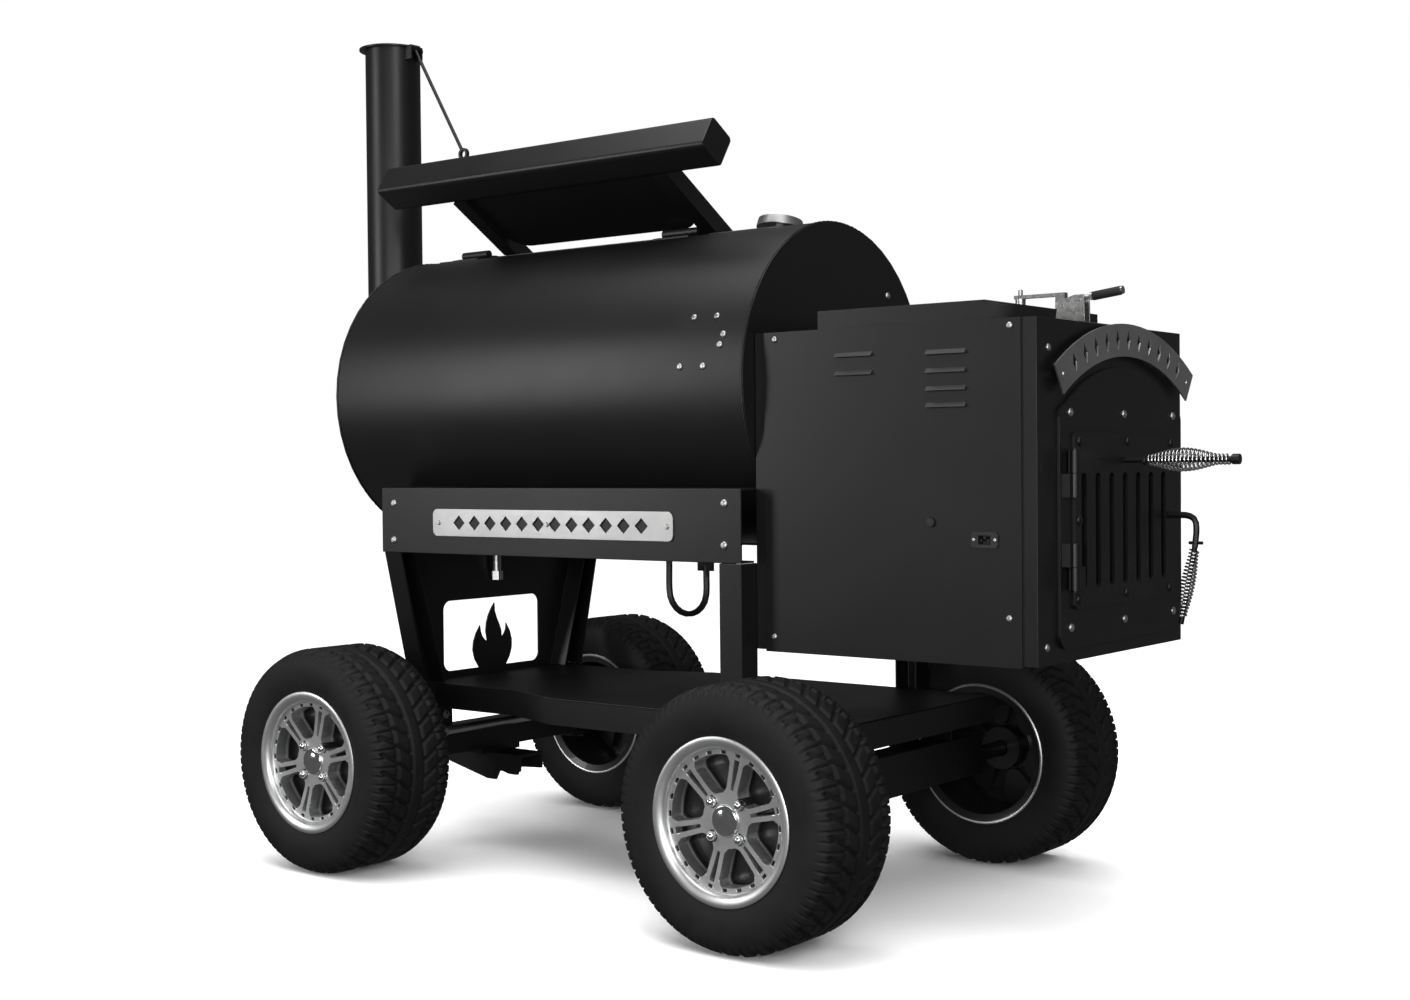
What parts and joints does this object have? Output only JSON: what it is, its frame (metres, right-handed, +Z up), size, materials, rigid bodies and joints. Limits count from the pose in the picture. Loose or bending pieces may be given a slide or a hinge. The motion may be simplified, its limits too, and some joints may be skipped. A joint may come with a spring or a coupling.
{
  "type": "pellet smoker cart",
  "caption": "Barrel smoker with a side hopper cabinet, tall chimney and counterweighted lid, on a steered wheeled cart with pneumatic tyres.",
  "frame": {"origin": "middle of the footprint box on the ground", "axes": "+X along the barrel towards the hopper and firebox end; +Y towards the side where the barrel lid opens; +Z up; millimetre source, metres here"},
  "size_m": [2.115, 1.077, 1.805],
  "materials": {
    "powder_coat": "satin black powder coat, slightly textured",
    "greased_steel": "plain steel darkened by heat",
    "brushed_stainless": "brushed stainless",
    "zinc": "bright zinc plate",
    "chrome": "polished chrome wire",
    "black_plastic": "moulded, matt",
    "tyre_rubber": "black tread rubber",
    "machined_alloy": "machined face over black pockets"
  },
  "bodies": {
    "chassis": {"barrel_shell": "powder_coat", "end_cap_stack": "powder_coat", "end_cap_hopper": "powder_coat", "lower_grate": "greased_steel", "upper_grate": "greased_steel", "heat_deflector": "greased_steel", "grease_drain": "zinc", "stack_pipe": "powder_coat", "cabinet_shell": "powder_coat", "service_panel": "powder_coat", "power_inlet": "black_plastic", "control_panel": "black_plastic", "hopper_bin": "powder_coat", "clamp_base": "zinc", "auger_tube": "greased_steel", "auger_motor": "zinc", "fire_pot": "greased_steel", "firebox_liner": "greased_steel", "fan_housing": "black_plastic", "door_plate": "powder_coat", "arch_sign": "brushed_stainless", "rail_left": "powder_coat", "rail_right": "powder_coat", "rail_sign": "brushed_stainless", "leg_back_left": "powder_coat", "leg_back_right": "powder_coat", "front_tower": "powder_coat", "deck_frame": "powder_coat", "deck_sheet": "powder_coat", "back_axle": "powder_coat", "front_axle": "powder_coat"},
    "lid": {"lid_shell": "powder_coat", "counterweight": "powder_coat", "counterweight_arms": "powder_coat", "thermometer": "brushed_stainless", "lid_handle": "powder_coat"},
    "stack_flap": {"stack_flap": "powder_coat"},
    "hopper_lid": {"hopper_lid": "powder_coat"},
    "clamp_lever": {"clamp_lever": "zinc"},
    "clamp_arm": {"clamp_arm": "zinc"},
    "vent_door": {"vent_door": "powder_coat"},
    "latch": {"latch_rod": "powder_coat", "latch_grip": "chrome"},
    "damper": {"damper_rod": "powder_coat", "damper_grip": "chrome"},
    "knuckle_left": {"knuckle_left": "powder_coat"},
    "knuckle_right": {"knuckle_right": "powder_coat"},
    "tie_rod": {"tie_rod": "zinc"},
    "wheel_front_left": {"tyre_front_left": "tyre_rubber", "rim_front_left": "machined_alloy"},
    "wheel_front_right": {"tyre_front_right": "tyre_rubber", "rim_front_right": "machined_alloy"},
    "wheel_back_left": {"tyre_back_left": "tyre_rubber", "rim_back_left": "machined_alloy"},
    "wheel_back_right": {"tyre_back_right": "tyre_rubber", "rim_back_right": "machined_alloy"},
    "auger_screw": {"auger_screw": "greased_steel"},
    "fan_impeller": {"fan_impeller": "black_plastic"},
    "control_knob": {"control_knob": "black_plastic"},
    "breaker_button": {"breaker_button": "black_plastic"}
  },
  "joints": [
    {"name": "lid_hinge", "type": "hinge", "parent": "chassis", "child": "lid", "pos_m": [-0.2275, -0.022, 1.29902], "axis": [1, 0, 0], "range_deg": [0, 45]},
    {"name": "stack_flap_hinge", "type": "hinge", "parent": "chassis", "child": "stack_flap", "pos_m": [-0.9045, 0, 1.797], "axis": [0, 1, 0], "range_deg": [0, 30]},
    {"name": "hopper_lid_hinge", "type": "hinge", "parent": "chassis", "child": "hopper_lid", "pos_m": [0.3665, 0, 1.069], "axis": [0, -1, 0], "range_deg": [0, 95]},
    {"name": "clamp_lever_hinge", "type": "hinge", "parent": "chassis", "child": "clamp_lever", "pos_m": [0.8125, -0.06, 1.104], "axis": [0, -1, 0], "range_deg": [0, 75]},
    {"name": "clamp_arm_hinge", "type": "hinge", "parent": "chassis", "child": "clamp_arm", "pos_m": [0.7805, -0.06, 1.095], "axis": [0, 1, 0], "range_deg": [0, 75]},
    {"name": "door_hinge", "type": "hinge", "parent": "chassis", "child": "vent_door", "pos_m": [0.8585, -0.182, 0.727], "axis": [0, 0, -1], "range_deg": [0, 115]},
    {"name": "latch_turn", "type": "hinge", "parent": "vent_door", "child": "latch", "pos_m": [0.8725, 0.21, 0.727], "axis": [1, 0, 0], "range_deg": [0, 90]},
    {"name": "damper_slide", "type": "slide", "parent": "vent_door", "child": "damper", "axis": [1, 0, 0], "range_m": [-0.03, 0]},
    {"name": "steer_left", "type": "hinge", "parent": "chassis", "child": "knuckle_left", "pos_m": [-0.677, -0.3, 0.2295], "axis": [0, 0, 1], "range_deg": [-20, 20]},
    {"name": "steer_right", "type": "hinge", "parent": "chassis", "child": "knuckle_right", "pos_m": [-0.677, 0.3, 0.2295], "axis": [0, 0, 1], "range_deg": [-20, 20]},
    {"name": "tie_rod_slide", "type": "slide", "parent": "chassis", "child": "tie_rod", "axis": [0, 1, 0], "range_m": [-0.04, 0.04]},
    {"name": "wheel_front_left_spin", "type": "hinge", "parent": "knuckle_left", "child": "wheel_front_left", "pos_m": [-0.677, -0.436, 0.2295], "axis": [0, 1, 0], "continuous": true},
    {"name": "wheel_front_right_spin", "type": "hinge", "parent": "knuckle_right", "child": "wheel_front_right", "pos_m": [-0.677, 0.436, 0.2295], "axis": [0, 1, 0], "continuous": true},
    {"name": "wheel_back_left_spin", "type": "hinge", "parent": "chassis", "child": "wheel_back_left", "pos_m": [0.3795, -0.436, 0.2295], "axis": [0, 1, 0], "continuous": true},
    {"name": "wheel_back_right_spin", "type": "hinge", "parent": "chassis", "child": "wheel_back_right", "pos_m": [0.3795, 0.436, 0.2295], "axis": [0, 1, 0], "continuous": true},
    {"name": "auger_spin", "type": "hinge", "parent": "chassis", "child": "auger_screw", "pos_m": [0.5425, 0, 0.892], "axis": [0, 1, 0], "continuous": true},
    {"name": "fan_spin", "type": "hinge", "parent": "chassis", "child": "fan_impeller", "pos_m": [0.4125, -0.23, 0.61], "axis": [0, 1, 0], "continuous": true},
    {"name": "knob_turn", "type": "hinge", "parent": "chassis", "child": "control_knob", "pos_m": [0.5975, 0.3, 0.912], "axis": [0, 1, 0], "range_deg": [-135, 135]},
    {"name": "breaker_press", "type": "slide", "parent": "chassis", "child": "breaker_button", "axis": [0, 1, 0], "range_m": [0, 0.002], "stiffness_N_per_m": 400}
  ],
  "couplings": [
    {"joint": "clamp_arm_hinge", "follows": "clamp_lever_hinge", "ratio": 1},
    {"joint": "steer_right", "follows": "steer_left", "ratio": 1},
    {"joint": "tie_rod_slide", "follows": "steer_left", "m_per_rad": 0.0931}
  ]
}
